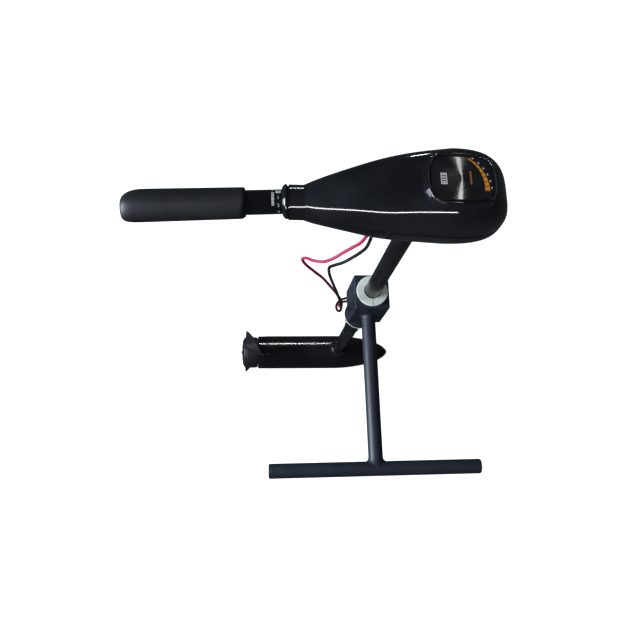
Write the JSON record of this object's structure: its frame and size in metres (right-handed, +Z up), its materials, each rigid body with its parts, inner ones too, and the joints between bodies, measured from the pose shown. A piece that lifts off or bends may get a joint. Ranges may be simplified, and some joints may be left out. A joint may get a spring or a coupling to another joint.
{
  "type": "electric trolling motor on a tube bracket",
  "caption": "Hand-steered electric outboard: sealed motor pod with two-blade propeller, long shaft turning in a T-shaped tube bracket, control head with twist tiller and battery leads.",
  "frame": {"origin": "centre of the bracket's crossbar", "axes": "+Z up the shaft, +Y from the crossbar to the shaft, +X along the crossbar, away from the tiller"},
  "size_m": [0.5808, 0.3801, 1.041],
  "materials": {
    "bracket_paint": "satin slate-blue powder coat",
    "cap_plastic": "matte",
    "white_nylon": "satin",
    "shaft_paint": "gloss black over steel tube",
    "motor_paint": "gloss black enamel on cast aluminium",
    "head_plastic": "polished black",
    "window_plastic": "printed dark window",
    "grip_rubber": "soft matte foam rubber",
    "prop_plastic": "moulded black",
    "steel": "bright",
    "lamination": "stacked steel sheet",
    "ferrite": "sintered magnet",
    "copper": "enamelled wire and bars",
    "carbon": "dull black",
    "nitrile": "matt",
    "red_fibre": "matt",
    "board": "green lacquer",
    "red_cable": "satin vinyl",
    "black_cable": "satin vinyl",
    "tinned": "tinned copper"
  },
  "bodies": {
    "bracket": {"crossbar": "bracket_paint", "crossbar_cap_left": "cap_plastic", "crossbar_cap_right": "cap_plastic", "bracket_stem": "bracket_paint", "pivot_block": "bracket_paint"},
    "sleeve": {"upper_bush": "white_nylon", "lower_bush": "white_nylon"},
    "drive": {"main_shaft": "shaft_paint", "motor_housing": "motor_paint", "motor_end_cap": "motor_paint", "nose_cone": "motor_paint", "flux_ring": "steel", "magnet_upper": "ferrite", "magnet_lower": "ferrite", "rear_bearing": "steel", "front_bearing": "steel", "shaft_seal": "nitrile", "rear_o_ring": "nitrile", "front_o_ring": "nitrile", "front_bearing_plate": "lamination", "brush_plate": "carbon", "brush_upper": "carbon", "brush_lower": "carbon", "brush_spring_upper": "steel", "brush_spring_lower": "steel", "through_bolt_left": "steel", "through_bolt_right": "steel", "head_base": "head_plastic", "head_cover": "head_plastic", "head_screw_1": "steel", "head_screw_2": "steel", "display_bezel": "head_plastic", "display_window": "window_plastic", "display_board": "board", "control_board": "board", "shaft_clamp": "steel", "clamp_bolt": "steel", "lead_grommet": "nitrile", "tiller_collar": "head_plastic", "switch_body": "carbon", "motor_cable": "black_cable", "red_lead": "red_cable", "black_lead": "black_cable", "red_hank": "red_cable", "black_hank": "black_cable", "red_terminal": "tinned", "black_terminal": "tinned", "cable_tie": "nitrile"},
    "tiller": {"tiller_tube": "head_plastic", "switch_shaft": "steel"},
    "grip": {"tiller_grip": "grip_rubber"},
    "propeller": {"propeller": "prop_plastic", "drive_pin": "steel", "prop_nut": "steel", "thrust_washer": "red_fibre", "rotor_shaft": "steel", "armature_core": "lamination", "winding_rear": "copper", "winding_front": "copper", "commutator": "copper"}
  },
  "joints": [
    {"name": "steering", "type": "hinge", "parent": "bracket", "child": "sleeve", "pos_m": [0, 0.312, 0], "axis": [0, 0, 1], "range_deg": [-50, 50]},
    {"name": "depth", "type": "slide", "parent": "sleeve", "child": "drive", "axis": [0, 0, 1], "range_m": [-0.32, 0]},
    {"name": "speed_twist", "type": "hinge", "parent": "drive", "child": "tiller", "pos_m": [-0.177, 0.312, 0.4136], "axis": [-0.9949, 0, -0.1011], "range_deg": [-90, 150]},
    {"name": "grip_extend", "type": "slide", "parent": "tiller", "child": "grip", "axis": [-0.9949, 0, -0.1011], "range_m": [0, 0.1]},
    {"name": "prop_spin", "type": "hinge", "parent": "drive", "child": "propeller", "pos_m": [-0.212, 0.312, -0.422], "axis": [1, 0, 0], "continuous": true}
  ]
}
